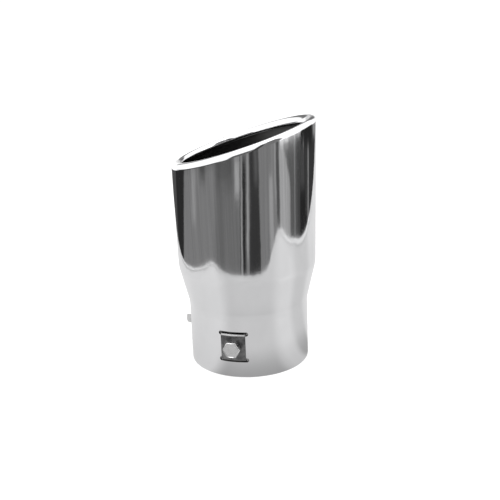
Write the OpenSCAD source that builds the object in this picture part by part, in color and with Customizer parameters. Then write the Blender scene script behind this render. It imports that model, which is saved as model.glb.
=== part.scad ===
// Slip-on exhaust tip: one sheet shell with a flared body and a slash-cut rolled lip,
// held on the tail pipe by three straps, each with a hex set screw.
// Millimetres. Z is up the axis from the centre of the inlet edge, +X is the long side, and
// -Y is the front clamp's side.

/* [Inlet sleeve] */
// Outside diameter of the straight sleeve that slips over the tail pipe
sleeve_d = 76.2; // [66:0.1:84]
// Height of the straight sleeve, from its lower edge to the flare
sleeve_h = 36.5; // [30:0.5:60]
// Thickness of the sheet that the shell is formed from
wall = 1.2; // [0.8:0.1:2]

/* [Flare and body] */
// Distance that the flare steps out from the sleeve to the foot of the body, on each side
flare_out = 5.9; // [3:0.1:16]
// Slope of the flare, measured from upright
flare_deg = 13.4; // [8:0.1:26]
// Outer bend radius at both ends of the flare
flare_bend_r = 25; // [6:1:40]
// Slope of the body, which widens a little towards the outlet
body_deg = 0.85; // [0:0.05:2]

/* [Slash cut and rolled lip] */
// Height of the lip's crest where the axis meets it
rim_h = 143.9; // [125:0.1:220]
// Tilt of the slash cut, high on the +X side
slash_deg = 17.6; // [0:0.1:30]
// Outside radius of the rolled lip
lip_r = 3.5; // [2.6:0.1:5]
// Angle that the sheet is rolled through, from the outside over the crest
roll_deg = 195; // [120:5:230]

/* [Straps] */
// Height of the three screws above the inlet edge
clamp_h = 20.4; // [18:0.1:30]
// Angle round the axis from one clamp to the next
clamp_step = 98; // [80:1:120]
// Width of a strap, measured round the sleeve
strap_w = 15.5; // [13:0.5:24]
// Height of a strap over its two legs
strap_h = 17.9; // [15:0.1:24]
// Thickness of the strap's steel
strap_t = 1.2; // [1:0.1:2]
// Height that a strap's web stands off the sleeve
strap_off = 0.4; // [0.2:0.1:1]
// Inside radius of the strap's bends
strap_bend_r = 0.3; // [0.2:0.1:1]
// Length of the straight foot behind each slot
foot_l = 4.5; // [3:0.5:7]

/* [Slots] */
// Extra length of a slot past each edge of its strap
slot_side = 1.7; // [0.8:0.1:3]
// Open height of a slot beyond the strap's leg
slot_open = 1.1; // [0.8:0.1:2]
// Clearance between a strap and the sheet it passes through or bears on
strap_gap = 0.2; // [0.1:0.05:0.3]

/* [Screws] */
// Outside diameter of the screw thread
screw_d = 6; // [5:0.5:8]
// Length of a screw under its head
screw_l = 12; // [9:0.5:20]
// Width of the hex head across its flats
head_af = 9.8; // [8:0.1:13]
// Height of the hex head
head_h = 4; // [3:0.1:6]
// Turn of the left screw's head about its own axis; the other heads have corners to both sides
left_head_turn = 30; // [0:5:60]
// Height of the chamfer on the screw's point
point_h = 0.8; // [0.3:0.1:1.5]
// Radial clearance between thread and collar
thread_gap = 0.05; // [0.02:0.01:0.1]
// Clearance between a seated head and its strap
seat_gap = 0.1; // [0.05:0.05:0.3]
// Wall of the threaded collar drawn inwards from the strap
collar_t = 1.5; // [1:0.1:2]
// Length of the collar inside the sleeve's inner face
collar_in = 1; // [0:0.1:3]

/* [Hidden] */
$fn = 96;

// Directions of the clamps round the axis: front is -Y, left is near -X, back is near +Y
front = -90;
left = front - clamp_step;
back = left - clamp_step;

polished = [0.80, 0.80, 0.81];
strap_steel = [0.45, 0.45, 0.46];
zinc = [0.70, 0.70, 0.69];

// Radii of the shell's faces
sleeve_r = sleeve_d / 2;
sleeve_in = sleeve_r - wall;
body_r = sleeve_r + flare_out;

// The two bends step out by this share of their radius, and take no more than the whole flare
bend_out = 1 + cos(body_deg) - 2 * cos(flare_deg);
bend_r = min(flare_bend_r, flare_out / bend_out);
flare_top = sleeve_h + bend_r * (2 * sin(flare_deg) - sin(body_deg))
    + (flare_out - bend_r * bend_out) / tan(flare_deg);

// Radius of the rim where its lip springs from the body, and the rim's shift towards the long
// side, where the body is wider
rim_r = body_r + (rim_h - lip_r - flare_top) * tan(body_deg);
rim_shift = rim_r * tan(slash_deg) * tan(body_deg);

// The lip's sheet is rooted inside the wall, a skin's depth from both of its faces
lip_skin = 0.1;
lip_root = 2;
lip_steps = 14;
flare_steps = 8;

// Radii of a strap's faces, and the half heights of its leg and slot
web_in = sleeve_r + strap_off;
web_out = web_in + strap_t;
foot_out = sleeve_in - strap_gap;
leg_top = strap_h / 2;
outer_bend_r = strap_bend_r + strap_t;
slot_low = leg_top - strap_t - strap_gap;
slot_high = leg_top + slot_open;

collar_r = screw_d / 2 + thread_gap + collar_t;
collar_hole_r = collar_r + strap_gap;
collar_end = sleeve_in - collar_in;

// Share of the flats that the head's round top face keeps, and its chamfer from flat
head_top = 0.95;
head_chamfer_deg = 30;

// Longer than anything that is cut
far = 2 * (rim_h + 2 * rim_r);

function arc(centre, r, from, to, steps) =
    [for (i = [0:steps])
        let (a = from + (to - from) * i / steps)
        centre + r * [cos(a), sin(a)]];

// Radius and height along one face of the shell, depth inwards from its outside
function shell_face(depth, top) = concat(
    [[sleeve_r - depth, 0]],
    arc([sleeve_r + bend_r, sleeve_h], bend_r + depth, 180, 180 - flare_deg, flare_steps),
    arc([body_r - bend_r * cos(body_deg), flare_top + bend_r * sin(body_deg)], bend_r - depth,
        -flare_deg, -body_deg, flare_steps),
    [[body_r - depth / cos(body_deg) + (top - flare_top) * tan(body_deg), top]]);

function reversed(list) = [for (i = [len(list) - 1:-1:0]) list[i]];

// Section of the rolled lip in radius and height, with the crest at height 0
function lip_section() =
    let (centre = [rim_r - lip_r, -lip_r],
         outer = lip_r - lip_skin,
         inner = lip_r - wall + lip_skin)
    concat(
        [[centre.x + outer, centre.y - lip_root]],
        arc(centre, outer, 0, roll_deg, lip_steps),
        arc(centre, inner, roll_deg, 0, lip_steps),
        [[centre.x + inner, centre.y - lip_root]]);

// Everything above a plane tilted like the slash cut, which meets the axis at height h
module above_slash(h) {
    translate([0, 0, h])
        rotate([0, -slash_deg, 0])
            translate([-far / 2, -far / 2, 0])
                cube(far);
}

// The lip's section goes round the axis and rises with X, as the slash cut does
module rolled_lip() {
    rise = [[1, 0, 0, 0], [0, 1, 0, 0], [tan(slash_deg), 0, 1, rim_h], [0, 0, 0, 1]];
    multmatrix(rise)
        translate([rim_shift, 0, 0])
            rotate_extrude()
                polygon(lip_section());
}

module flared_tube() {
    difference() {
        rotate_extrude()
            polygon(concat(shell_face(0, far / 2), reversed(shell_face(wall, far / 2))));
        above_slash(rim_h - lip_r);
    }
}

// Children turned to one clamp: X runs outwards there, and Z = 0 is at the screw
module at_clamp(direction) {
    rotate([0, 0, direction])
        translate([0, 0, clamp_h])
            children();
}

// Round bar along X between two distances from the axis
module radial_bar(r, from, to) {
    translate([from, 0, 0])
        rotate([0, 90, 0])
            cylinder(r = r, h = to - from);
}

// Rounded slot above the screw, cut outwards through the wall
module strap_slot() {
    end_r = (slot_high - slot_low) / 2;
    reach = strap_w / 2 + slot_side - end_r;
    translate([0, 0, slot_low + end_r]) {
        for (side = [-1, 1])
            translate([0, side * reach, 0])
                radial_bar(end_r, sleeve_r / 2, far);
        translate([sleeve_r / 2, -reach, -end_r])
            cube([far, 2 * reach, 2 * end_r]);
    }
}

module clamp_cuts() {
    strap_slot();
    mirror([0, 0, 1])
        strap_slot();
    radial_bar(collar_hole_r, sleeve_r / 2, far);
}

module outer_shell() {
    color(polished) {
        difference() {
            flared_tube();
            for (direction = [front, left, back])
                at_clamp(direction)
                    clamp_cuts();
        }
        rolled_lip();
    }
}

// Quarter of a flat ring, one sheet thick, which turns a strap through a right angle
module strap_bend(centre, quadrant) {
    translate(centre)
        rotate(quadrant)
            intersection() {
                difference() {
                    circle(outer_bend_r);
                    circle(strap_bend_r);
                }
                square(2 * outer_bend_r);
            }
}

// Upper half of a strap's section: web, leg through the slot, and foot inside the sleeve
module half_strap_section() {
    outer_centre = [web_out - outer_bend_r, leg_top - outer_bend_r];
    inner_centre = [foot_out + strap_bend_r, leg_top + strap_bend_r];
    translate([web_in, 0])
        square([strap_t, outer_centre.y]);
    strap_bend(outer_centre, 0);
    translate([inner_centre.x, leg_top - strap_t])
        square([outer_centre.x - inner_centre.x, strap_t]);
    strap_bend(inner_centre, 180);
    translate([foot_out - strap_t, inner_centre.y])
        square([strap_t, foot_l]);
}

module strap(direction) {
    color(strap_steel)
        at_clamp(direction)
            difference() {
                union() {
                    intersection() {
                        rotate_extrude() {
                            half_strap_section();
                            mirror([0, 1])
                                half_strap_section();
                        }
                        translate([0, -strap_w / 2, -far / 2])
                            cube([far, strap_w, far]);
                    }
                    radial_bar(collar_r, collar_end, web_in + strap_t / 2);
                }
                radial_bar(screw_d / 2 + thread_gap, 0, far);
            }
}

module hex_head() {
    corner_r = head_af / 2 / cos(30);
    top_r = head_af / 2 * head_top;
    intersection() {
        rotate(30)
            cylinder(r = corner_r, h = head_h, $fn = 6);
        cylinder(r1 = top_r + head_h / tan(head_chamfer_deg), r2 = top_r, h = head_h);
    }
}

module set_screw(direction, turn) {
    color(zinc)
        at_clamp(direction)
            translate([web_out + seat_gap, 0, 0])
                rotate([0, 90, 0]) {
                    rotate(turn)
                        hex_head();
                    translate([0, 0, point_h - screw_l])
                        cylinder(d = screw_d, h = screw_l - point_h + head_h / 2);
                    translate([0, 0, -screw_l])
                        cylinder(d1 = screw_d - 2 * point_h, d2 = screw_d, h = point_h);
                }
}

outer_shell();
strap(front);  // strap_front
strap(left);  // strap_left
strap(back);  // strap_back
set_screw(front, 0);  // screw_front
set_screw(left, left_head_turn);  // screw_left
set_screw(back, 0);  // screw_back
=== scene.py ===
import math

import bmesh
import bpy
from mathutils import Matrix, Vector


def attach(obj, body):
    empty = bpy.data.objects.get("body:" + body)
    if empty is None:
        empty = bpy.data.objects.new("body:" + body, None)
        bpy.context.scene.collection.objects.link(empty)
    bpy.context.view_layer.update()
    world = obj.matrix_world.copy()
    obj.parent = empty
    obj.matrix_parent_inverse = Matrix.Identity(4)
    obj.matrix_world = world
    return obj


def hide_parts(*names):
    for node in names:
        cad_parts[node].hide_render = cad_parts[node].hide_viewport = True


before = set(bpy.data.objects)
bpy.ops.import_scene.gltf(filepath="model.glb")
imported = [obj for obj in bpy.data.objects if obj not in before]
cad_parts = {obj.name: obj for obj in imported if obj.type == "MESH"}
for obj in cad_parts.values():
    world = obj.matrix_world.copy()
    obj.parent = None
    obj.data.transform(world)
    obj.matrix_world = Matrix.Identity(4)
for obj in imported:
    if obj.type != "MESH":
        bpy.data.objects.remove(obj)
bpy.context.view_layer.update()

MM = 0.001

# The shell, as the CAD model has it
SLEEVE_R = 38.1 * MM
SLEEVE_H = 36.5 * MM
WALL = 1.2 * MM
FLARE_OUT = 5.9 * MM
FLARE_SLOPE = math.radians(13.4)
BODY_SLOPE = math.radians(0.85)
BEND_R = 25 * MM
RIM_H = 143.9 * MM
SLASH_RISE = math.tan(math.radians(17.6))
LIP_R = 3.5 * MM
ROLL = math.radians(195)
BODY_R = SLEEVE_R + FLARE_OUT
BEND_OUT = 1 + math.cos(BODY_SLOPE) - 2 * math.cos(FLARE_SLOPE)
FLARE_TOP = SLEEVE_H + BEND_R * (2 * math.sin(FLARE_SLOPE) - math.sin(BODY_SLOPE)) + (
    FLARE_OUT - BEND_R * BEND_OUT) / math.tan(FLARE_SLOPE)
RIM_R = BODY_R + (RIM_H - LIP_R - FLARE_TOP) * math.tan(BODY_SLOPE)
RIM_SHIFT = RIM_R * SLASH_RISE * math.tan(BODY_SLOPE)

# The shell's rounded edges: the inlet edge's centre and the height where its rounding ends, the
# corner angles that the inlet edge and the lip's hem leave off, and the cut holes' edge radius
EDGE_CENTRE = 0.3 * MM
EDGE_END = 0.35 * MM
EDGE_CORNER = 0.35
HEM_CORNER = 0.3
CUT_EDGE = 0.12 * MM

# How far the plugs that cut the holes reach inside and outside the sleeve's face
PLUG_IN = 4 * MM
PLUG_OUT = 2 * MM

# The clamps, as the CAD model has them; STRAP_EDGE rounds the edges that are sharp there
CLAMP_H = 20.4 * MM
STRAP_W = 15.5 * MM
STRAP_H = 17.9 * MM
STRAP_T = 1.2 * MM
STRAP_OFF = 0.4 * MM
STRAP_BEND = 0.3 * MM
FOOT_L = 4.5 * MM
SLOT_SIDE = 1.7 * MM
SLOT_OPEN = 1.1 * MM
STRAP_GAP = 0.2 * MM
COLLAR_T = 1.5 * MM
COLLAR_IN = 1 * MM
THREAD_GAP = 0.05 * MM
SEAT_GAP = 0.1 * MM
STRAP_EDGE = 0.22 * MM

# The screws. The thread's crest and root are flat over THREAD_FLAT of the pitch, and under the
# head it begins after PLAIN_L and reaches its full depth over RUN_OUT.
SCREW_R = 3 * MM
SCREW_L = 12 * MM
PITCH = 1 * MM
THREAD_DEPTH = 0.55 * MM
THREAD_FLAT = 0.1
PLAIN_L = 0.3 * MM
RUN_OUT = 0.6 * MM
POINT_H = 0.8 * MM

# The heads: half width across the flats, height, share of it that the round top face keeps, the
# chamfer's slope and the corners' radius
HEAD_FLAT = 4.9 * MM
HEAD_H = 4 * MM
HEAD_TOP = 0.95
HEAD_CHAMFER = math.radians(30)
HEAD_CORNER = 0.5 * MM

# The recess in a head's face: its depth, where its flat bottom ends and how wide its slope is, as
# shares of the way to the head's side
RECESS = 0.3 * MM
RECESS_END = 0.865
RECESS_SLOPE = 0.08
RECESS_STEPS = 5

# Clamp name, the body its screw rides on, its direction round the axis and its head's turn
CLAMPS = (
    ("front", "front_screw", -90, 0),
    ("left", "left_screw", -188, 30),
    ("back", "back_screw", -286, 0),
)

# The camera that was fitted to the photo, in a frame turned about Z so that it stands on -Y.
# Angles are in radians, and the focal length is a share of the picture's width.
VIEW_TURN = 0.28
CAMERA_BACK = 573.2 * MM
CAMERA_UP = 267.7 * MM
AIM_SIDE = 2.05 * MM
AIM_UP = 71.2 * MM
CAMERA_ROLL = -0.0358
FOCAL_SHARE = 945.8 / 500
SENSOR = 36.0

# How finely the meshes are divided: points round the shell, a screw, a plain bar and a hole, rows
# up the parts of the shell's section, and steps along a rounded edge or a slot's end
AROUND = 320
SCREW_AROUND = 120
BAR_AROUND = 64
HOLE_AROUND = 48
SLEEVE_ROWS = 15
BEND_ROWS = 12
BODY_ROWS = 24
LIP_ROWS = 36
LIP_INNER_ROWS = 24
HEM_ROWS = 6
INLET_EDGE_ROWS = 8
CUT_EDGE_ROWS = 4
SLOT_END_STEPS = 12
STRAP_STEPS = 20
PITCH_STEPS = 12

# Points that are nearer than this, in metres, are one
SAME_PLACE = 1e-7


def seen(x, y, z):
    """A point given in the camera's turned frame, in the part's frame."""
    c, s = math.cos(VIEW_TURN), math.sin(VIEW_TURN)
    return Vector((x * c - y * s, x * s + y * c, z))


# Meshes

def new_object(name, mesh):
    obj = bpy.data.objects.new(name, mesh)
    bpy.context.scene.collection.objects.link(obj)
    return obj


def mesh_of(name, points, faces):
    mesh = bpy.data.meshes.new(name)
    mesh.from_pydata([tuple(p) for p in points], [], faces)
    mesh.validate()
    mesh.update()
    return mesh


def ring_faces(rows, columns, closed_rows):
    """Quads between rows of points that each go right round."""
    faces = []
    for i in range(rows if closed_rows else rows - 1):
        a, b = i * columns, (i + 1) % rows * columns
        for j in range(columns):
            k = (j + 1) % columns
            faces.append((a + j, a + k, b + k, b + j))
    return faces


def outward(mesh):
    """Turns every face of a closed mesh outwards."""
    work = bmesh.new()
    work.from_mesh(mesh)
    bmesh.ops.remove_doubles(work, verts=work.verts, dist=SAME_PLACE)
    bmesh.ops.recalc_face_normals(work, faces=work.faces)
    work.to_mesh(mesh)
    work.free()
    mesh.update()


def applied(obj):
    """Replaces an object's mesh by what its modifiers make of it."""
    graph = bpy.context.evaluated_depsgraph_get()
    mesh = bpy.data.meshes.new_from_object(obj.evaluated_get(graph))
    obj.modifiers.clear()
    obj.data = mesh


def combine(obj, tool, operation):
    """Joins a tool to an object or cuts it out, and removes the tool."""
    cut = obj.modifiers.new("cut", "BOOLEAN")
    cut.operation = operation
    cut.solver = "EXACT"
    cut.object = tool
    applied(obj)
    bpy.data.objects.remove(tool)


def smooth_by_angle(mesh, degrees):
    mesh.polygons.foreach_set("use_smooth", [True] * len(mesh.polygons))
    mesh.set_sharp_from_angle(angle=math.radians(degrees))


def arc(centre, r, start, end, steps):
    """Points and outward directions along an arc, in radius and height."""
    out = []
    for i in range(steps + 1):
        a = start + (end - start) * i / steps
        d = (math.cos(a), math.sin(a))
        out.append((centre[0] + r * d[0], centre[1] + r * d[1], d[0], d[1]))
    return out


# The shell

def shell_wall(depth, side):
    """Rows up one face of the shell: radius, height, share of the slash's rise, and the face's
    direction. depth is how far the face lies inside the outer one, and side is 1 for a face that
    looks outwards or -1 for one that looks inwards."""
    rows = []
    r = SLEEVE_R - depth
    for i in range(SLEEVE_ROWS):
        rows.append((r, EDGE_END + (SLEEVE_H - EDGE_END) * i / SLEEVE_ROWS, 0, side, 0))
    centre = (SLEEVE_R + BEND_R, SLEEVE_H)
    for p in arc(centre, BEND_R + depth, math.pi, math.pi - FLARE_SLOPE, BEND_ROWS):
        rows.append((p[0], p[1], 0, -side * p[2], -side * p[3]))
    lean = (math.cos(BODY_SLOPE), -math.sin(BODY_SLOPE))
    centre = (BODY_R - BEND_R * lean[0], FLARE_TOP - BEND_R * lean[1])
    for p in arc(centre, BEND_R - depth, -FLARE_SLOPE, -BODY_SLOPE, BEND_ROWS):
        rows.append((p[0], p[1], 0, side * p[2], side * p[3]))
    straight = RIM_H - LIP_R - FLARE_TOP
    for i in range(1, BODY_ROWS):
        share = i / BODY_ROWS
        r = BODY_R - depth / lean[0] + straight * share * math.tan(BODY_SLOPE)
        rows.append((r, FLARE_TOP + straight * share, share, side * lean[0], side * lean[1]))
    return rows


def shell_rows():
    """The shell's whole section, from the inlet edge up outside, over the lip and down inside, and
    the rows between which its face is raw."""
    centre = (RIM_R - LIP_R, RIM_H - LIP_R)
    thin = LIP_R - WALL
    rows = shell_wall(0, 1)
    rows += [(p[0], p[1], 1, p[2], p[3]) for p in arc(centre, LIP_R, -BODY_SLOPE, ROLL, LIP_ROWS)]
    middle = (LIP_R + thin) / 2
    hem = (centre[0] + middle * math.cos(ROLL), centre[1] + middle * math.sin(ROLL))
    hem_end = ROLL + math.pi - HEM_CORNER
    raw_from = len(rows)
    rows += [(p[0], p[1], 1, p[2], p[3])
             for p in arc(hem, WALL / 2, ROLL + HEM_CORNER, hem_end, HEM_ROWS)]
    rows += [(p[0], p[1], 1, -p[2], -p[3])
             for p in arc(centre, thin, ROLL, -BODY_SLOPE, LIP_INNER_ROWS)]
    rows += reversed(shell_wall(WALL, -1))
    raw_to = len(rows) - 1
    edge = (SLEEVE_R - WALL / 2, EDGE_CENTRE)
    rows += [(p[0], max(p[1], 0), 0, p[2], p[3])
             for p in arc(edge, WALL / 2, -math.pi + EDGE_CORNER, -EDGE_CORNER, INLET_EDGE_ROWS)]
    return rows, range(raw_from, raw_to)


def place_row(row, angle):
    """A row's point at an angle round the axis, and the surface's direction there."""
    r, height, rise, along, up = row
    x, y = r * math.cos(angle) + rise * RIM_SHIFT, r * math.sin(angle)
    point = (x, y, height + rise * SLASH_RISE * x)
    lean = rise * SLASH_RISE * up
    normal = Vector((along * math.cos(angle) - lean, along * math.sin(angle), up)).normalized()
    return point, normal


def slot_outline(grow):
    """A rounded slot's outline above a screw, round the sleeve and up, with all its sides grown."""
    low = STRAP_H / 2 - STRAP_T - STRAP_GAP
    high = STRAP_H / 2 + SLOT_OPEN
    end = (high - low) / 2
    reach = STRAP_W / 2 + SLOT_SIDE - end
    out = []
    for side in (1, -1):
        for i in range(SLOT_END_STEPS + 1):
            a = side * math.pi / 2 * (1 - 2 * i / SLOT_END_STEPS)
            across = side * (reach + (end + grow) * math.cos(a))
            out.append((across, (low + high) / 2 + (end + grow) * math.sin(a)))
    return out


def hole_outline(grow):
    """A round hole's outline about a screw, with its radius grown."""
    r = SCREW_R + THREAD_GAP + COLLAR_T + STRAP_GAP + grow
    angles = [2 * math.pi * i / HOLE_AROUND for i in range(HOLE_AROUND)]
    return [(r * math.cos(a), r * math.sin(a)) for a in angles]


def cutter(name, outline, flip, direction):
    """A plug through the sleeve's wall, which leaves the hole's outer edge rounded. flip is -1
    for an outline that is turned upside down."""
    levels = [(SLEEVE_R - PLUG_IN, 0.0)]
    for i in range(CUT_EDGE_ROWS + 1):
        a = math.pi / 2 * i / CUT_EDGE_ROWS
        levels.append((SLEEVE_R - CUT_EDGE + CUT_EDGE * math.sin(a), CUT_EDGE * (1 - math.cos(a))))
    levels.append((SLEEVE_R + PLUG_OUT, CUT_EDGE))
    points = []
    for r, grow in levels:
        for across, up in outline(grow):
            a = math.radians(direction) + across / SLEEVE_R
            points.append((r * math.cos(a), r * math.sin(a), CLAMP_H + flip * up))
    n = len(outline(0))
    faces = ring_faces(len(levels), n, False)
    faces.append(tuple(range(n)))
    faces.append(tuple((len(levels) - 1) * n + i for i in range(n)))
    obj = new_object(name, mesh_of(name, points, faces))
    outward(obj.data)
    # The holes' walls take the inside's steel, which is darkened as painted shade
    obj.data.polygons.foreach_set("material_index", [1] * len(obj.data.polygons))
    return obj


def join(objects, name):
    """One object that holds the meshes of several."""
    work = bmesh.new()
    for obj in objects:
        work.from_mesh(obj.data)
        bpy.data.objects.remove(obj)
    mesh = bpy.data.meshes.new(name)
    work.to_mesh(mesh)
    work.free()
    return new_object(name, mesh)


def place_key(point):
    """A point to the nearest micrometre, by which a vertex finds its row again."""
    return tuple(round(v * 1e6) for v in point)


def shade_shell(mesh, rows):
    """Gives the mirror-like faces the true directions of the formed surface, round the cut holes
    too. A face is the sleeve's wall where it looks straight out or in, and any other takes a row's
    direction where that is near its own. Both limits are cosines."""
    straight = 0.985
    near_enough = 0.8
    smooth_by_angle(mesh, 38)
    known = {}
    for row in rows:
        for j in range(AROUND):
            point, normal = place_row(row, 2 * math.pi * j / AROUND)
            known[place_key(point)] = normal
    normals = [Vector(n.vector) for n in mesh.corner_normals]
    for face in mesh.polygons:
        middle = Vector((face.center.x, face.center.y, 0)).normalized()
        facing = face.normal.dot(middle)
        wall = face.center.z < SLEEVE_H - MM and abs(facing) > straight
        for k in face.loop_indices:
            place = mesh.vertices[mesh.loops[k].vertex_index].co
            if wall:
                away = Vector((place.x, place.y, 0)).normalized()
                normals[k] = away if facing > 0 else -away
                continue
            key = place_key(place)
            if key in known and known[key].dot(face.normal) > near_enough:
                normals[k] = known[key]
    mesh.normals_split_custom_set(normals)


def make_shell():
    """The formed sheet, polished outside and raw inside, with its slots and holes cut."""
    rows, raw = shell_rows()
    points = [place_row(row, 2 * math.pi * j / AROUND)[0] for row in rows for j in range(AROUND)]
    mesh = mesh_of("shell", points, ring_faces(len(rows), AROUND, True))
    mesh.materials.append(polished_steel())
    # The inside takes steel that is darkened as painted shade
    mesh.materials.append(inner_steel_painted_shade())
    for face in mesh.polygons:
        face.material_index = int(face.index // AROUND in raw)
    outward(mesh)
    shell = new_object("shell", mesh)
    plugs = []
    for name, _, direction, _ in CLAMPS:
        plugs.append(cutter("slot_above_" + name, slot_outline, 1, direction))
        plugs.append(cutter("slot_below_" + name, slot_outline, -1, direction))
        plugs.append(cutter("hole_" + name, hole_outline, 1, direction))
    plug = join(plugs, "plugs")
    for material in mesh.materials:
        plug.data.materials.append(material)
    combine(shell, plug, "DIFFERENCE")
    shade_shell(shell.data, rows)
    return shell


# The straps

def half_strap():
    """Upper half of a strap's section, from the middle of its web out, over and in, then back."""
    web_out = SLEEVE_R + STRAP_OFF + STRAP_T
    foot_out = SLEEVE_R - WALL - STRAP_GAP
    top = STRAP_H / 2
    big = STRAP_BEND + STRAP_T
    outer = (web_out - big, top - big)
    inner = (foot_out + STRAP_BEND, top + STRAP_BEND)
    end = inner[1] + FOOT_L
    quarter = math.pi / 2
    there = [p[:2] for p in arc(outer, big, 0, quarter, 8)]
    there += [p[:2] for p in arc(inner, STRAP_BEND, 3 * quarter, 2 * quarter, 6)]
    there += [(foot_out, end), (foot_out - STRAP_T, end)]
    there += [p[:2] for p in arc(inner, big, 2 * quarter, 3 * quarter, 8)]
    there += [p[:2] for p in arc(outer, STRAP_BEND, quarter, 0, 6)]
    return there


def clamp_matrix(direction):
    """Local Z runs outwards along a clamp's direction and local X down, from the axis at the
    screws' height."""
    turn = Matrix.Rotation(math.radians(direction), 4, "Z")
    return turn @ Matrix.Translation((0, 0, CLAMP_H)) @ Matrix.Rotation(math.pi / 2, 4, "Y")


def round_bar(name, r, start, end, direction):
    """A round bar along a clamp's direction, between two distances from the axis."""
    work = bmesh.new()
    bmesh.ops.create_cone(work, cap_ends=True, segments=BAR_AROUND, radius1=r, radius2=r,
                          depth=end - start)
    mesh = bpy.data.meshes.new(name)
    work.to_mesh(mesh)
    work.free()
    mesh.transform(clamp_matrix(direction) @ Matrix.Translation((0, 0, (start + end) / 2)))
    return new_object(name, mesh)


def make_strap(name, direction):
    """The section is set up row beside row across the strap, each bent round the sleeve's axis,
    with a narrow row at either edge for the bevel."""
    half = half_strap()
    section = half + [(r, -z) for r, z in reversed(half)]
    edge = 0.3 * MM
    shifts = [-STRAP_W / 2, -STRAP_W / 2 + edge]
    shifts += [(-0.5 + i / STRAP_STEPS) * (STRAP_W - 2 * edge) for i in range(1, STRAP_STEPS)]
    shifts += [STRAP_W / 2 - edge, STRAP_W / 2]
    points = [(math.sqrt(r * r - y * y), y, z + CLAMP_H) for y in shifts for r, z in section]
    n = len(section)
    faces = ring_faces(len(shifts), n, False)
    faces += [tuple(range(n)), tuple((len(shifts) - 1) * n + i for i in range(n))]
    mesh = mesh_of(name, points, faces)
    mesh.transform(Matrix.Rotation(math.radians(direction), 4, "Z"))
    outward(mesh)
    strap = new_object(name, mesh)
    soften = strap.modifiers.new("edges", "BEVEL")
    soften.width = STRAP_EDGE
    soften.segments = 3
    soften.limit_method = "ANGLE"
    soften.angle_limit = math.radians(50)
    applied(strap)
    web_in = SLEEVE_R + STRAP_OFF
    hole_r = SCREW_R + THREAD_GAP
    collar_end = SLEEVE_R - WALL - COLLAR_IN
    collar = round_bar("collar", hole_r + COLLAR_T, collar_end, web_in + STRAP_T / 2, direction)
    combine(strap, collar, "UNION")
    hole = round_bar("hole", hole_r, collar_end - MM, web_in + 2 * STRAP_T, direction)
    combine(strap, hole, "DIFFERENCE")
    smooth_by_angle(strap.data, 35)
    return strap


# The screws

def hex_radius(angle, flat, corner):
    """Distance to a hexagon's side, with its corners rounded; a corner lies at angle 90 degrees."""
    sector = math.pi / 3
    off = (angle + sector / 2) % sector - sector / 2
    side = flat / math.cos(off)
    centre = (flat - corner) / math.cos(sector / 2)
    to_corner = sector / 2 - abs(off)
    corner_from = math.atan2(corner * math.sin(sector / 2), centre + corner * math.cos(sector / 2))
    if to_corner > corner_from:
        return side
    across = centre * math.sin(to_corner)
    return centre * math.cos(to_corner) + math.sqrt(corner ** 2 - across ** 2)


def head_rows():
    """Rows over the head from its middle down to the seat, each by its kind. A row on the face has
    a share of the way to the head's side and a depth, which makes the recess and then the rounding
    of the face's edge. A row on the side has a share of the height. A row on the foot has a share
    of the way to the side and a height. The last one is round, with a radius."""
    rows = [("face", share, RECESS) for share in (0.04, 0.3, 0.6, 0.8, RECESS_END)]
    for i in range(1, RECESS_STEPS + 1):
        depth = RECESS * (0.5 + 0.5 * math.cos(math.pi * i / RECESS_STEPS))
        rows.append(("face", RECESS_END + RECESS_SLOPE * i / RECESS_STEPS, depth))
    rows += [("face", 0.965, 0.01 * MM), ("face", 0.98, 0.03 * MM), ("face", 0.992, 0.07 * MM)]
    rows += [("side", share, 0) for share in (0.965, 0.9, 0.5, 0.2, 0.08)]
    rows.append(("foot", 0.985, 0.06 * MM))
    rows.append(("foot", 0.95, 0.0))
    rows.append(("round", SCREW_R * 1.1, 0.0))
    return rows


def head_point(row, angle, turn):
    kind, share, value = row
    if kind == "round":
        return share * math.cos(angle), share * math.sin(angle), 0.0
    side = hex_radius(angle - turn, HEAD_FLAT, HEAD_CORNER)
    r = side if kind == "side" else side * share
    top = HEAD_H - max(0, r - HEAD_FLAT * HEAD_TOP) * math.tan(HEAD_CHAMFER)
    z = {"face": top - value, "side": top * share, "foot": value}[kind]
    return r * math.cos(angle), r * math.sin(angle), z


def thread_radius(z, angle):
    """Radius of the threaded shank, which is plain under the head and chamfered at the point."""
    phase = (z / PITCH - angle / (2 * math.pi)) % 1
    tooth = min(1, max(0, abs(phase - 0.5) - THREAD_FLAT / 2) / (0.5 - THREAD_FLAT))
    depth = THREAD_DEPTH * min(1, max(0, (-z - PLAIN_L) / RUN_OUT))
    r = SCREW_R - tooth * depth
    point = (z + SCREW_L) / POINT_H
    if point < 1:
        r = min(r, SCREW_R - POINT_H * (1 - point))
    return r


def make_screw(name, direction, turn):
    """Rings of points over the head and down the shank, closed by a point at either end."""
    angles = [2 * math.pi * j / SCREW_AROUND for j in range(SCREW_AROUND)]
    points = [(0, 0, HEAD_H - RECESS)]
    rows = head_rows()
    for row in rows:
        points += [head_point(row, a, math.radians(turn)) for a in angles]
    shank_steps = int(SCREW_L / PITCH * PITCH_STEPS)
    for i in range(shank_steps + 1):
        z = -SCREW_L * i / shank_steps
        for a in angles:
            r = thread_radius(z, a)
            points.append((r * math.cos(a), r * math.sin(a), z))
    points.append((0, 0, -SCREW_L))
    count = len(rows) + shank_steps + 1
    faces = [tuple(1 + v for v in face) for face in ring_faces(count, SCREW_AROUND, False)]
    last = 1 + (count - 1) * SCREW_AROUND
    for j in range(SCREW_AROUND):
        k = (j + 1) % SCREW_AROUND
        faces.append((0, 1 + j, 1 + k))
        faces.append((len(points) - 1, last + k, last + j))
    mesh = mesh_of(name, points, faces)
    seat = SLEEVE_R + STRAP_OFF + STRAP_T + SEAT_GAP
    mesh.transform(clamp_matrix(direction) @ Matrix.Translation((0, 0, seat)))
    outward(mesh)
    smooth_by_angle(mesh, 32)
    return new_object(name, mesh)


# Materials

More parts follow.
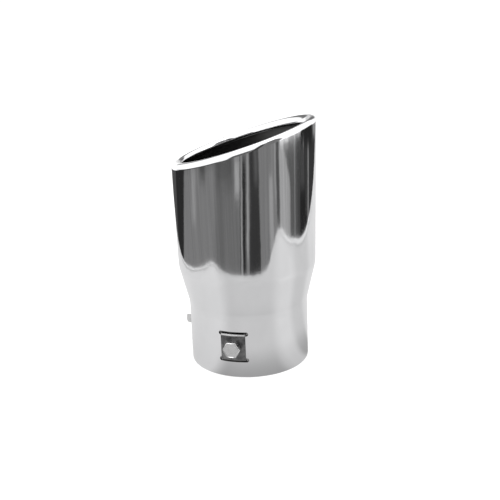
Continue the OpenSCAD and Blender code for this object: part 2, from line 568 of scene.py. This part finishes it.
class Nodes:
    """A short way to build a material's nodes."""

    def __init__(self, name):
        self.material = bpy.data.materials.new(name)
        self.material.use_nodes = True
        self.tree = self.material.node_tree
        self.shader = self.tree.nodes["Principled BSDF"]

    def add(self, kind, **settings):
        node = self.tree.nodes.new(kind)
        for key, value in settings.items():
            setattr(node, key, value)
        return node

    def link(self, start, end):
        self.tree.links.new(start, end)

    def compute(self, operation, a, b=None):
        """An operation on one or two terms, each a number or another node's output."""
        node = self.add("ShaderNodeMath", operation=operation)
        for i, value in enumerate((a, b)):
            if value is None:
                continue
            if isinstance(value, (int, float)):
                node.inputs[i].default_value = value
            else:
                self.link(value, node.inputs[i])
        return node.outputs[0]

    def span(self, value, low, high):
        """Maps 0 to 1 onto a range."""
        node = self.add("ShaderNodeMapRange")
        self.link(value, node.inputs["Value"])
        node.inputs["To Min"].default_value = low
        node.inputs["To Max"].default_value = high
        return node.outputs[0]

    def object_point(self):
        return self.add("ShaderNodeTexCoord").outputs["Object"]

    def noise(self, where, scale, detail):
        node = self.add("ShaderNodeTexNoise")
        node.inputs["Scale"].default_value = scale
        node.inputs["Detail"].default_value = detail
        node.inputs["Roughness"].default_value = 0.55
        self.link(where, node.inputs["Vector"])
        return node.outputs["Fac"]

    def stretched(self, where, scale):
        node = self.add("ShaderNodeMapping")
        node.inputs["Scale"].default_value = scale
        self.link(where, node.inputs["Vector"])
        return node.outputs[0]

    def round_point(self, where, radius):
        """The point unrolled round the axis: distance round, height and distance out."""
        x, y, z = self.parts(where)
        turn = self.compute("MULTIPLY", self.compute("ARCTAN2", y, x), radius)
        combined = self.add("ShaderNodeCombineXYZ")
        for i, value in enumerate((turn, z, self.distance_out(x, y))):
            self.link(value, combined.inputs[i])
        return combined.outputs[0]

    def parts(self, where):
        """A point's X, Y and Z."""
        node = self.add("ShaderNodeSeparateXYZ")
        self.link(where, node.inputs[0])
        return node.outputs

    def distance_out(self, x, y):
        """Distance from the axis."""
        squares = self.compute("ADD", self.compute("MULTIPLY", x, x), self.compute("MULTIPLY", y, y))
        return self.compute("SQRT", squares)

    def contrast(self, value, low, high, kind="LINEAR"):
        """Maps a range onto 0 to 1, clamped."""
        node = self.add("ShaderNodeMapRange", interpolation_type=kind)
        self.link(value, node.inputs["Value"])
        node.inputs["From Min"].default_value = low
        node.inputs["From Max"].default_value = high
        return node.outputs[0]

    def bump(self, layers):
        """Stacks bumps: each layer is a height, its strength and its distance."""
        last = None
        for height, strength, distance in layers:
            node = self.add("ShaderNodeBump")
            node.inputs["Strength"].default_value = strength
            node.inputs["Distance"].default_value = distance
            self.link(height, node.inputs["Height"])
            if last is not None:
                self.link(last, node.inputs["Normal"])
            last = node.outputs[0]
        self.link(last, self.shader.inputs["Normal"])

    def mix(self, share, dark, light):
        """One colour or another by a share; each is three numbers or another node's output."""
        node = self.add("ShaderNodeMix", data_type="RGBA")
        self.link(share, node.inputs[0])
        for i, colour in ((6, dark), (7, light)):
            if isinstance(colour, tuple):
                node.inputs[i].default_value = (*colour, 1)
            else:
                self.link(colour, node.inputs[i])
        return node.outputs[2]

    def metal(self, colour, roughness):
        """Makes the shader a metal with these outputs for its colour and roughness."""
        self.shader.inputs["Metallic"].default_value = 1.0
        self.link(colour, self.shader.inputs["Base Color"])
        self.link(roughness, self.shader.inputs["Roughness"])


# Brightness of the polish itself, between its darkest and lightest colour
POLISH = 0.83


def polished_steel():
    """Mirror polish with slight haze, faint polishing lines round it, long waves and ripples."""
    n = Nodes("polished_stainless")
    where = n.object_point()
    unrolled = n.round_point(where, BODY_R)
    cloudy = n.noise(where, 22, 3)
    lines = n.noise(n.stretched(unrolled, (60, 2600, 60)), 1.0, 3)
    colour = n.mix(cloudy, (0.80, 0.80, 0.81), (0.86, 0.86, 0.87))
    n.metal(colour, n.compute("ADD", n.span(cloudy, 0.035, 0.075), n.span(lines, 0.0, 0.03)))
    waves = n.noise(n.stretched(unrolled, (38, 13, 38)), 1.0, 2)
    ripples = n.noise(n.stretched(unrolled, (90, 55, 90)), 1.0, 2)
    n.bump([(waves, 0.35, 0.25 * MM), (ripples, 0.5, 0.085 * MM), (lines, 0.05, 0.004 * MM)])
    return n.material


def inner_steel_painted_shade():
    """Raw steel, drawn lengthwise and uneven in tone, darkened as painted shade inside the tube."""
    n = Nodes("raw_stainless_painted_shade")
    where = n.object_point()
    unrolled = n.round_point(where, BODY_R)
    cloudy = n.noise(where, 35, 4)
    lines = n.noise(n.stretched(unrolled, (900, 60, 60)), 1.0, 4)
    # Painted shade: the dark colour stands for the shade inside the tube
    colour = n.mix(cloudy, (0.05, 0.05, 0.05), (0.2, 0.198, 0.195))
    n.metal(colour, n.compute("ADD", n.span(cloudy, 0.22, 0.34), n.span(lines, 0.0, 0.1)))
    n.bump([(lines, 0.2, 0.02 * MM)])
    return n.material


def strap_metal():
    """Dull patchy steel, with painted shade towards its top and a painted highlight on the bends
    outside.
    """
    n = Nodes("strap_steel")
    where = n.object_point()
    cloudy = n.noise(where, 140, 4)
    patches = n.contrast(n.noise(where, 260, 2), 0.32, 0.68)
    grain = n.noise(n.stretched(where, (2600, 2600, 160)), 1.0, 3)
    x, y, z = n.parts(where)
    above_screw = n.compute("SUBTRACT", z, CLAMP_H)
    tone_and_shade = n.compute("ADD", n.compute("MULTIPLY", patches, 0.5), n.compute("MULTIPLY", grain, 0.4))
    # Painted shade: the colour darkens from the screw's height up to the strap's top
    tone_and_shade = n.compute("SUBTRACT", tone_and_shade, n.compute("MULTIPLY", above_screw, 0.2 / (STRAP_H / 2)))
    dull = n.mix(tone_and_shade, (0.05, 0.05, 0.052), (0.34, 0.34, 0.34))
    from_screw = n.compute("ABSOLUTE", above_screw)
    # Painted highlight: the colour is lighter on the bends outside the sleeve, where light catches
    # them
    bend_from = STRAP_H / 2 - 1.3 * MM
    bend_to = STRAP_H / 2 - 0.6 * MM
    bend_highlight = n.contrast(from_screw, bend_from, bend_to, "SMOOTHSTEP")
    out_from = SLEEVE_R + 0.1 * MM
    out_to = SLEEVE_R + 0.5 * MM
    outside = n.contrast(n.distance_out(x, y), out_from, out_to, "SMOOTHSTEP")
    colour = n.mix(n.compute("MULTIPLY", bend_highlight, outside), dull, (0.3, 0.3, 0.3))
    n.metal(colour, n.compute("ADD", n.span(cloudy, 0.28, 0.42), n.span(grain, 0.0, 0.12)))
    n.bump([(cloudy, 0.15, 0.05 * MM), (grain, 0.25, 0.012 * MM)])
    return n.material


def zinc_plate():
    """Bright plating, a little cloudy and pitted."""
    n = Nodes("screw_zinc")
    where = n.object_point()
    cloudy = n.noise(where, 420, 4)
    fine = n.noise(where, 2600, 3)
    colour = n.mix(cloudy, (0.6, 0.6, 0.6), (0.8, 0.8, 0.8))
    n.metal(colour, n.compute("ADD", n.span(cloudy, 0.16, 0.3), n.span(fine, 0.0, 0.1)))
    n.bump([(cloudy, 0.2, 0.05 * MM), (fine, 0.2, 0.008 * MM)])
    return n.material


# The stage

def make_floor():
    """White paper, which the camera sees and the polish doesn't."""
    far = 12.0
    corners = [(-far, -far, 0), (far, -far, 0), (far, far, 0), (-far, far, 0)]
    floor = new_object("floor", mesh_of("floor", corners, [(0, 1, 2, 3)]))
    n = Nodes("floor_paper")
    n.shader.inputs["Base Color"].default_value = (0.93, 0.93, 0.93, 1)
    n.shader.inputs["Roughness"].default_value = 0.9
    floor.data.materials.append(n.material)
    floor.visible_glossy = False


def glow(grey):
    """The emission that the polish mirrors as this grey of 255, by the usual sRGB curve."""
    return ((grey / 255 + 0.055) / 1.055) ** 2.4 / POLISH


def show_levels(name, points, faces, levels, clouds):
    """A mesh that only the polish sees. It glows by a level at each point and by faint clouds,
    which are given by their stretch, their scale and how much they darken and lighten."""
    stretch, scale, depth = clouds
    obj = new_object(name, mesh_of(name, points, faces))
    attribute = obj.data.attributes.new("level", "FLOAT", "POINT")
    attribute.data.foreach_set("value", levels)
    n = Nodes(name)
    n.tree.nodes.remove(n.shader)
    level = n.add("ShaderNodeAttribute", attribute_name="level").outputs["Fac"]
    cloudy = n.noise(n.stretched(n.object_point(), stretch), scale, 4)
    emitter = n.add("ShaderNodeEmission")
    n.link(n.compute("MULTIPLY", level, n.span(cloudy, 1 - depth, 1 + depth)), emitter.inputs["Color"])
    n.link(emitter.outputs[0], n.tree.nodes["Material Output"].inputs["Surface"])
    obj.data.materials.append(n.material)
    obj.visible_camera = False
    obj.visible_diffuse = False
    obj.visible_shadow = False
    obj.visible_transmission = False


# Outline of the white table top that the polish mirrors, in millimetres in the camera's turned
# frame, anticlockwise from its front left corner. Its bulges make the scallops on the body, and it
# runs on far behind the part. A light rim and a darker line go round its edge, and it lies
# TABLE_DEPTH under the floor. Its front and sides were worked out by following the mirror
# direction from the scallops' edge, as read in the photo, and then moved.
TABLE = (
    (-197, -142), (-139, -177), (-75, -205), (-15, -216), (52, -212), (117, -200), (184, -214),
    (236, -211), (260, -185), (264, -153), (268, -112), (280, -50), (281, 9), (285, 72),
    (294, 133), (296, 203), (298, 296), (300, 900), (120, 900), (-80, 560), (-138, 365),
    (-144, 262), (-160, 205), (-178, 154), (-194, 107), (-212, 41), (-218, -19), (-214, -83),
)
TABLE_RIM = 13 * MM
TABLE_LINE = 4.4 * MM
TABLE_DEPTH = 0.2 * MM
TABLE_RINGS = 70
CURVE_PARTS = 6


def smooth_loop(points):
    """A closed curve through the points."""
    out = []
    for i in range(len(points)):
        a, b, c, d = (points[(i + k) % len(points)] for k in (-1, 0, 1, 2))
        for j in range(CURVE_PARTS):
            t = j / CURVE_PARTS
            out.append(0.5 * (2 * b + (c - a) * t + (2 * a - 5 * b + 4 * c - d) * t ** 2
                              + (3 * b - a - 3 * c + d) * t ** 3))
    return out


def soft_step(value, soft):
    """Rises from 0 to 1 about zero, over a width of soft."""
    t = min(1, max(0, value / soft + 0.5))
    return t * t * (3 - 2 * t)


def soft_band(value, start, end, soft):
    """1 between start and end, and 0 outside, with soft ends."""
    return soft_step(value - start, soft) * soft_step(end - value, soft)


def inset(loop, extra):
    """An anticlockwise closed curve, moved inwards by the rim, which is narrow to the camera's
    left, and by some more."""
    out = []
    for i, point in enumerate(loop):
        along = (loop[(i + 1) % len(loop)] - loop[i - 1]).normalized()
        rim = TABLE_RIM * (0.4 + 0.6 * soft_step(point.x + 90 * MM, 60 * MM))
        out.append(point + (rim + extra) * Vector((-along.y, along.x)))
    return out


def degrees_round(point):
    """A table point's direction from the axis, in degrees from the camera's and to its right."""
    return math.degrees(math.atan2(point.x, -point.y))


def table_grey(point):
    """Darker towards the camera and in the part's own shade, both painted shade, and darker to the
    right.
    """
    away = point.length
    turn = degrees_round(point)
    front = soft_band(turn, -38, 43, 24)
    beside_front = soft_band(turn, 46, 72, 12)
    right = soft_band(turn, 76, 112, 18)
    near = 1 - soft_step(away - 60 * MM, 56 * MM)
    grey = 209 + 4 * soft_step(away - 110 * MM, 90 * MM) - 16 * front - 14 * right
    return grey - near * (8 + 34 * front + 12 * beside_front + 34 * right)


def ring_grey(ring, point):
    """Grey of the table at a point of one of its rings, counted inwards from its edge. At the
    table's front neither the rim nor the line stands out."""
    front = soft_band(degrees_round(point), -46, 54, 24)
    if ring < 2:
        return 232 - 30 * front
    if ring == 2:
        return 70 + 128 * front
    return table_grey(point)


def make_table():
    """Rings of points from the table's outline in to its middle."""
    edge = smooth_loop([Vector(p) * MM for p in TABLE])
    rings = [edge, inset(edge, 0), inset(edge, TABLE_LINE / 2), inset(edge, TABLE_LINE)]
    inner = rings[-1]
    rings += [[p * (1 - i / TABLE_RINGS) for p in inner] for i in range(1, TABLE_RINGS)]
    points = [seen(p.x, p.y, -TABLE_DEPTH) for ring in rings for p in ring]
    levels = [glow(ring_grey(i, p)) for i, ring in enumerate(rings) for p in ring]
    n = len(edge)
    faces = ring_faces(len(rings), n, False)
    faces.append(tuple((len(rings) - 1) * n + i for i in range(n)))
    show_levels("table_top", points, faces, levels, ((1, 1, 1), 9, 0.12))


# The dim room round the table, on a round wall that gives way to white above ROOM_TOP. Below
# LEAN_FROM its uprights lean: ROOM_LEAN is in degrees for each metre down, and on the left they
# also spread by a share for each metre. The two greys are those of the bare wall and of the white.
ROOM_R = 1150 * MM
ROOM_TOP = -100 * MM
ROOM_SPREAD = 0.55
ROOM_LEAN = 22
LEAN_FROM = -160 * MM
WALL_GREY = 118
ABOVE_GREY = 262


def card(start, end, grey, soft=2.0, top=ROOM_TOP + 20 * MM, low=-0.5, lean=0):
    """A card on the wall, by degrees round from the camera, positive to its right, with its top
    and low edge as heights in metres. Its sides are soft over some degrees, and its right side
    leans by some degrees for each metre down."""
    return start, end, grey, soft, top, low, lean


# Each card lies over those before it. Most make the upright streaks on the body. The last ones
# stand higher, and are mirrored in the lip. Their places began in the same way as the table's.
CARDS = (
    card(-182, -135, 72, soft=4),
    card(-135, -102, 40, soft=3, lean=-40),
    card(-88, -79, 136, soft=6, low=-0.27),
    card(-71, -61, 78, soft=7, low=-0.19),
    card(-44, -5, 105, soft=8),
    card(-42, -16, 84, soft=10, low=-0.2),
    card(-36, -28, 100, soft=5, top=-0.21),
    card(-14, -6, 156, soft=2, top=-0.152, low=-0.228),
    card(-6, -4.6, 60, soft=1.2, top=-0.15),
    card(-4.8, -2, 140, soft=1.4, top=-0.146),
    card(-2, 2, 36, soft=1.2, top=-0.155),
    card(2, 4, 84, soft=1.2, top=-0.15),
    card(4.2, 7, 150, soft=1.8, top=-0.143, low=-0.34),
    card(8.5, 22, 52, soft=2.2),
    card(15, 21, 84, soft=5, low=-0.2),
    card(22.5, 49.5, 118, soft=2.5),
    card(38, 44, 150, soft=4, top=-0.19),
    card(47.5, 49.5, 142, soft=1.4, low=-0.24),
    card(60, 97, 86, soft=9),
    card(90, 98, 66, soft=6),
    card(50.5, 56, 74, soft=2, low=-0.275),
    card(55.5, 61, 154, soft=3, top=-0.118, lean=190),
    card(84, 86, 120, soft=1.4),
    card(97, 125, 36, soft=4),
    card(97, 109, 68, soft=5, low=-0.21),
    card(112, 114.5, 76, soft=1.5, low=-0.26),
    card(118, 121.5, 136, soft=1.4, top=-0.118, low=-0.29),
    card(104, 107, 205, soft=1.5, top=-0.108, low=-0.13),
    card(125, 150, 50, soft=4),
    card(148, 182, 70, soft=4),
    card(138, 176, 130, soft=4, low=-0.108),
    card(-182, -159, 196, soft=5, low=-0.34),
    card(-126, -40, 44, soft=20, top=0.05, low=-0.14),
    card(97, 132, 34, soft=8, top=0.05, low=-0.125),
    card(58, 73, 262, soft=0.6, top=0.0, low=-0.122),
    card(72, 87, 262, soft=0.6, top=0.0, low=-0.115),
    card(86, 99, 262, soft=0.6, top=0.0, low=-0.107),
    card(-26, 8, 88, soft=8, top=0.5, low=-0.1),
    card(8.5, 22, 56, soft=4, top=1.6, low=-0.1),
    card(22, 54, 112, soft=4, top=2.4, low=-0.1),
    card(-182, -170, 200, soft=12, top=0.25, low=-0.1),
    card(162, 182, 180, soft=12, top=0.25, low=-0.1),
    card(-182, -156, 110, soft=12, top=0.65, low=0.25),
    card(156, 182, 110, soft=12, top=0.65, low=0.25),
)

# The most that a card's side leans, in degrees
WIDEST_LEAN = 14

# Spans of the wall's height in metres, each with its count of rows, finest where the dark ends
ROOM_ROWS = (
    (-0.5, -0.34, 10),
    (-0.34, -0.165, 22),
    (-0.165, -0.085, 26),
    (-0.085, 0.7, 24),
    (0.7, 2.7, 12),
)
ROOM_COLUMNS = 800


def room_grey(turn, height):
    """Grey of the wall at some degrees round and a height, with the cards laid over it."""
    grey = WALL_GREY + (ABOVE_GREY - WALL_GREY) * soft_step(height - ROOM_TOP, 15 * MM)
    down = max(0, LEAN_FROM - height)
    turn += ROOM_LEAN * down * (1 - soft_step(turn - 8, 4))
    if turn < 0:
        turn /= 1 + ROOM_SPREAD * down
    for start, end, level, soft, top, low, lean in CARDS:
        edge = end + min(lean * max(0, top - height), WIDEST_LEAN)
        across = soft_band(turn, start, edge, soft)
        upright = soft_band(height, low, top, (8 + 4 * soft) * MM)
        grey += (level - grey) * across * upright
    return grey


def make_room():
    """Rows of points round the wall, from its foot up."""
    heights = [ROOM_ROWS[0][0]]
    for low, high, rows in ROOM_ROWS:
        heights += [low + (high - low) * i / rows for i in range(1, rows + 1)]
    points = []
    levels = []
    for height in heights:
        for j in range(ROOM_COLUMNS):
            turn = -180 + 360 * j / ROOM_COLUMNS
            a = math.radians(turn)
            points.append(seen(ROOM_R * math.sin(a), -ROOM_R * math.cos(a), height))
            levels.append(glow(room_grey(turn, height)))
    faces = ring_faces(len(heights), ROOM_COLUMNS, False)
    show_levels("room", points, faces, levels, ((1, 1, 0.12), 24, 0.38))


def area_light(name, place, aim, size, power):
    """A softbox that looks at a point; its size is in metres and its power in watts."""
    light = bpy.data.lights.new(name, "AREA")
    light.shape = "RECTANGLE"
    light.size, light.size_y = size
    light.energy = power
    obj = bpy.data.objects.new(name, light)
    bpy.context.scene.collection.objects.link(obj)
    obj.location = place
    obj.rotation_euler = (aim - place).to_track_quat("-Z", "Y").to_euler()


def make_lights():
    """Three weak softboxes in a white world, which light the straps, the screws and the inside."""
    middle = Vector((0, 0, 0.08))
    area_light("key_softbox", seen(-0.75, -0.55, 1.1), middle, (0.8, 0.8), 4.5)
    area_light("fill_softbox", seen(0.95, -0.35, 0.9), middle, (0.7, 0.9), 3)
    area_light("top_softbox", seen(0, 0.2, 1.5), middle, (1.4, 1.4), 6)
    world = bpy.data.worlds.new("studio")
    bpy.context.scene.world = world
    world.use_nodes = True
    back = world.node_tree.nodes["Background"]
    back.inputs["Color"].default_value = (1, 1, 1, 1)
    back.inputs["Strength"].default_value = 1.15


def make_camera():
    eye = seen(0, -CAMERA_BACK, CAMERA_UP)
    forward = (seen(AIM_SIDE, 0, AIM_UP) - eye).normalized()
    right = forward.cross(Vector((0, 0, 1))).normalized()
    up = right.cross(forward)
    c, s = math.cos(CAMERA_ROLL), math.sin(CAMERA_ROLL)
    side = c * right + s * up
    top = -s * right + c * up
    camera = bpy.data.objects.new("camera", bpy.data.cameras.new("camera"))
    bpy.context.scene.collection.objects.link(camera)
    camera.data.sensor_width = SENSOR
    camera.data.lens = FOCAL_SHARE * SENSOR
    camera.data.clip_start = 0.01
    turn = Matrix((side, top, -forward)).transposed().to_4x4()
    camera.matrix_world = Matrix.Translation(eye) @ turn
    bpy.context.scene.camera = camera


def give(piece, body, nodes, material=None):
    """Gives a piece its material, if one is given, hangs it on its body and hides the nodes it stands
    for.
    """
    if material is not None:
        piece.data.materials.clear()
        piece.data.materials.append(material)
    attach(piece, body)
    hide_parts(*nodes)


make_camera()
make_floor()
make_table()
make_room()
make_lights()
bpy.context.scene.view_settings.view_transform = "Standard"

shell = make_shell()
give(shell, "tip", ["outer_shell"])
strap_look = strap_metal()
zinc_look = zinc_plate()
for name, body, direction, turn in CLAMPS:
    strap = make_strap("clamp_strap_" + name, direction)
    give(strap, "tip", ["strap_" + name], strap_look)
    screw = make_screw("set_screw_" + name, direction, turn)
    give(screw, body, ["screw_" + name], zinc_look)
